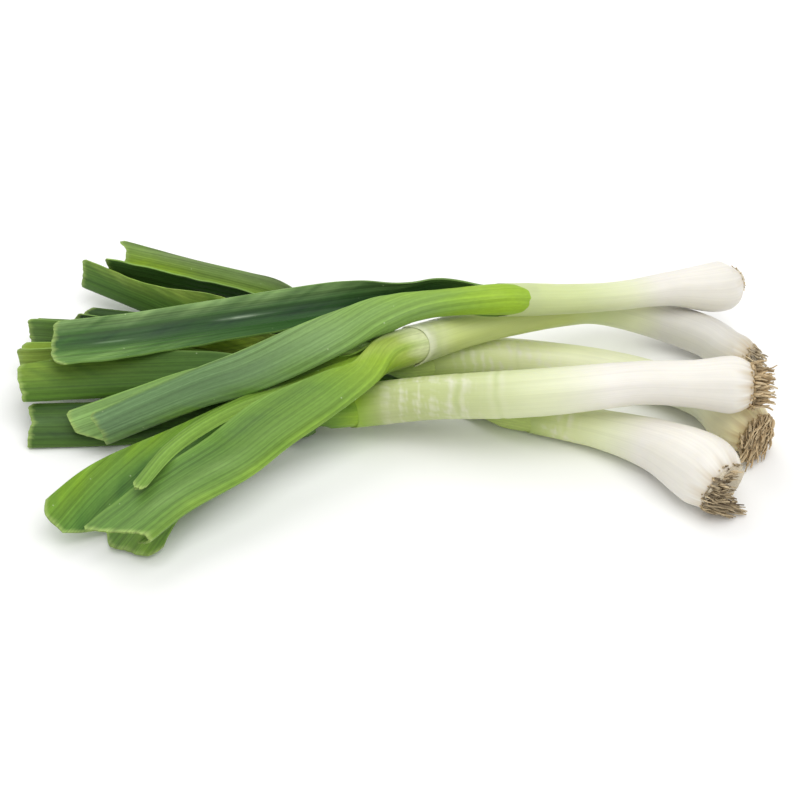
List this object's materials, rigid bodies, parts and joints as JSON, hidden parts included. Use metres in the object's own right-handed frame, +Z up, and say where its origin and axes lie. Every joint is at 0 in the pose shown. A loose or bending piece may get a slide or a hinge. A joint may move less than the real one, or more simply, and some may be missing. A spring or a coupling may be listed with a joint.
{
  "type": "bunch of leeks",
  "caption": "Trimmed leeks lying in a loose pile: white shafts with root tufts at one end and folded, cut green leaves fanning out at the other.",
  "frame": {"origin": "middle of the pile's footprint, on the table", "axes": "+X along the leeks towards their root ends, +Y to the back of the pile, +Z up"},
  "size_m": [0.4623, 0.2665, 0.0781],
  "materials": {
    "shaft": "smooth, slightly waxy white skin that turns pale yellow-green",
    "roots": "dry, fibrous, tan to brown",
    "leaf_bloom": "waxy blue-green bloom over fine long veins",
    "leaf_mid": "satin mid-green with fine long veins",
    "leaf_dark": "satin dark green with fine long veins",
    "leaf_lime": "satin yellow-green inner leaf face"
  },
  "bodies": {
    "root": {"leek_a_shaft": "shaft", "leek_a_roots": "roots", "leek_b_shaft": "shaft", "leek_b_roots": "roots", "leek_c_shaft": "shaft", "leek_c_roots": "roots", "leek_d_shaft": "shaft", "leek_d_roots": "roots", "leek_e_shaft": "shaft", "leek_e_roots": "roots", "leek_a_leaf_1": "leaf_bloom", "leek_a_leaf_2": "leaf_dark", "leek_b_leaf_1": "leaf_mid", "leek_b_leaf_2": "leaf_lime", "leek_b_leaf_3": "leaf_lime", "leek_c_leaf_1": "leaf_dark", "leek_c_leaf_2": "leaf_mid", "leek_c_leaf_3": "leaf_lime", "leek_d_leaf_1": "leaf_mid", "leek_d_leaf_2": "leaf_dark", "leek_e_leaf_1": "leaf_dark", "leek_e_leaf_2": "leaf_mid"}
  },
  "joints": []
}
